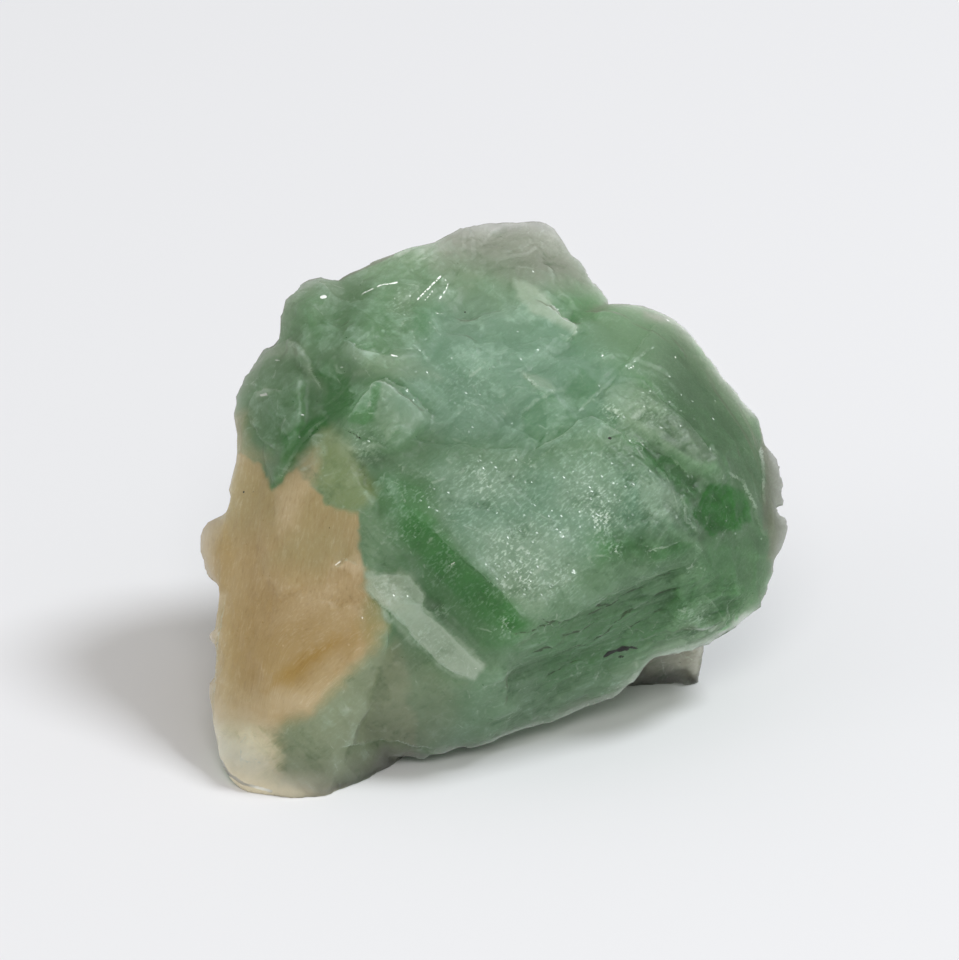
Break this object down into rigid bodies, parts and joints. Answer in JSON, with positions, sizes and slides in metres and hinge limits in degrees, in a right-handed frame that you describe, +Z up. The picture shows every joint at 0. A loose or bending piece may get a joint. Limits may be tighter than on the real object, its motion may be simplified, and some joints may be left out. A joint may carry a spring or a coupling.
{
  "type": "fluorite specimen",
  "caption": "Rough chunk of green fluorite crystal with a tan zone on one side, broken along cleavage planes, resting flat on a shelf.",
  "frame": {"origin": "middle of the footprint's bounding box, at the height of the surface that the stone rests on", "axes": "+Z up as the stone rests; +X along its longest side, to the right seen from the show face; -Y is the side the show face looks towards"},
  "size_m": [0.0592, 0.0496, 0.0426],
  "materials": {
    "fluorite": "glassy broken crystal, semi-translucent"
  },
  "bodies": {
    "root": {"fluorite": "fluorite"}
  },
  "joints": []
}
